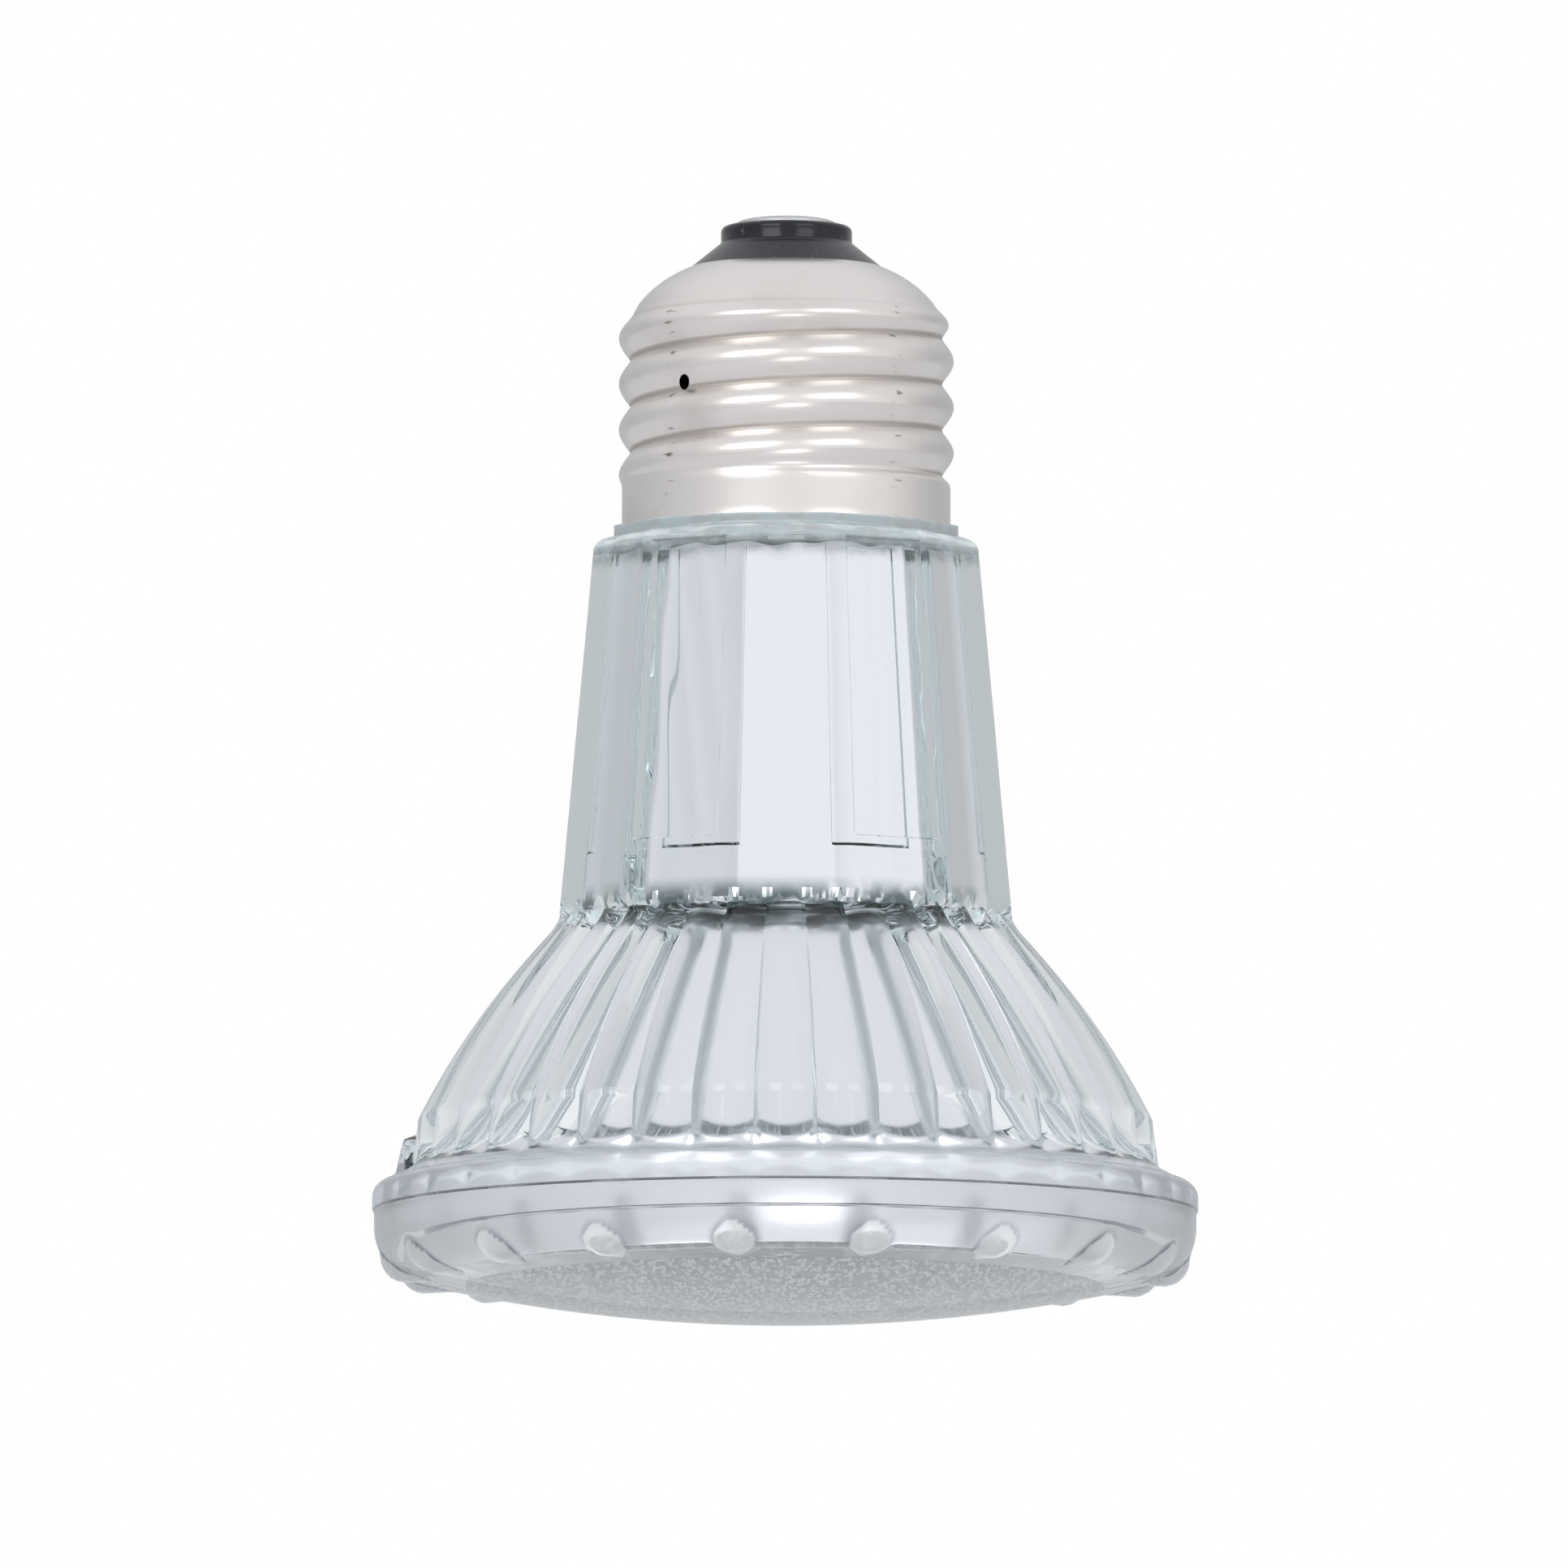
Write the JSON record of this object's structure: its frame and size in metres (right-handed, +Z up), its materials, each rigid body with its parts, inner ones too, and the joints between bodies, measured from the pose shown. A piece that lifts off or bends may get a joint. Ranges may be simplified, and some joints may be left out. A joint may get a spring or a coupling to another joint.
{
  "type": "basking bulb",
  "caption": "Reflector heat lamp in pressed clear glass: screw cap, faceted neck, fluted mirrored bowl and domed stippled lens.",
  "frame": {"origin": "centre of the flat end of the centre contact, the highest point of the lamp as it hangs", "axes": "+Z up along the lamp axis, out through the contact; -Y towards the side the picture shows; lens at the bottom"},
  "size_m": [0.0646, 0.0646, 0.0868],
  "materials": {
    "clear_glass": "polished",
    "lens_glass": "polished",
    "mirror_film": "polished",
    "seam_adhesive": "satin",
    "plated_shell": "polished",
    "black_glass": "gloss",
    "tinned_plate": "satin",
    "solder": "satin",
    "cement": "matte",
    "quartz": "polished",
    "tungsten": "satin",
    "molybdenum": "satin",
    "nickel_wire": "satin"
  },
  "bodies": {
    "root": {"reflector": "clear_glass", "lens": "lens_glass", "mirror_coating": "mirror_film", "lens_seal": "seam_adhesive", "screw_shell": "plated_shell", "insulator": "black_glass", "centre_contact": "tinned_plate", "contact_solder": "solder", "basing_cement": "cement", "capsule": "quartz", "filament": "tungsten", "filament_leg_a": "tungsten", "filament_leg_b": "tungsten", "foil_a": "molybdenum", "foil_b": "molybdenum", "capsule_lead_a": "molybdenum", "capsule_lead_b": "molybdenum", "post_a": "nickel_wire", "post_b": "nickel_wire", "ferrule_a": "nickel_wire", "ferrule_b": "nickel_wire", "contact_lead": "nickel_wire", "shell_lead": "nickel_wire"}
  },
  "joints": []
}
